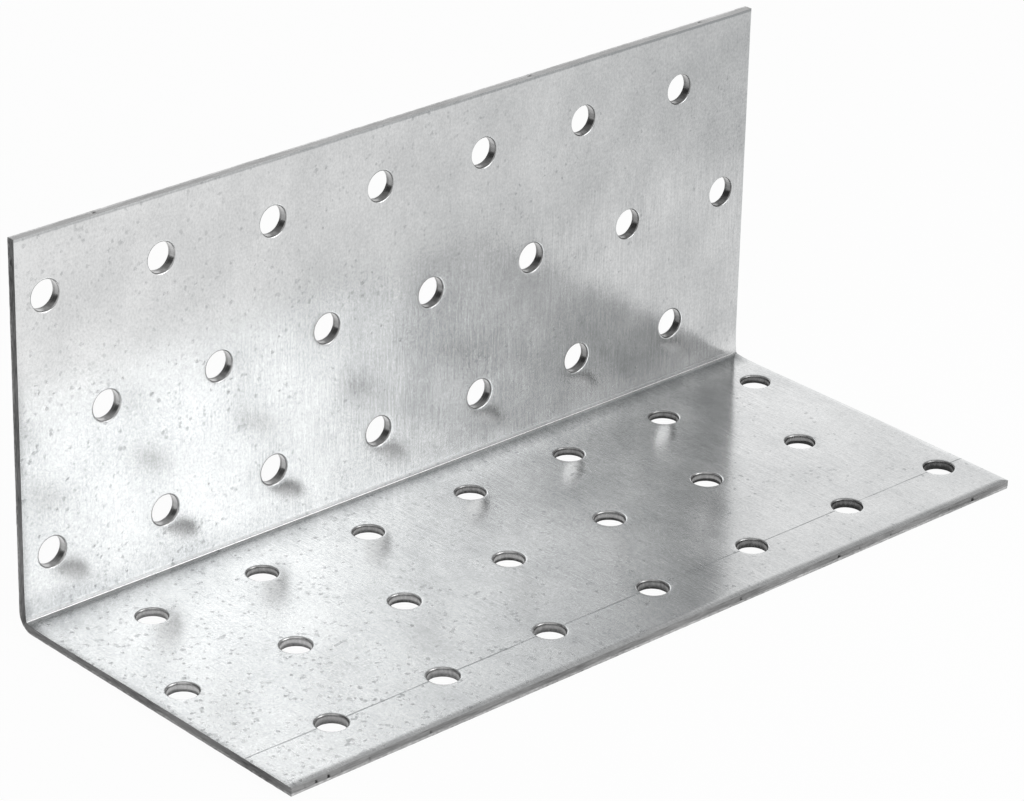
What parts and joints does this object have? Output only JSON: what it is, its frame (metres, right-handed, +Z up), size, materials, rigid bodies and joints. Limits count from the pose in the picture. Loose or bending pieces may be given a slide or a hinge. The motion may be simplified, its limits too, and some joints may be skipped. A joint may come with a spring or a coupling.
{
  "type": "angle bracket",
  "caption": "Folded right-angle bracket of galvanised sheet steel with staggered nail holes in both legs, for joining timbers or fixing timber to a wall.",
  "frame": {"origin": "bottom centre of the part's box: on the outer face of the base leg, midway along the fold and midway between the front edge and the outer face of the back leg", "axes": "+X along the fold, +Y from the front edge of the base leg towards the back leg, +Z up along the back leg"},
  "size_m": [0.14, 0.06, 0.06],
  "materials": {
    "galvanised_sheet": "bright hot-dip zinc, semi-gloss and slightly cloudy, with fine streaks across the fold"
  },
  "bodies": {
    "root": {"angle_bracket": "galvanised_sheet"}
  },
  "joints": []
}
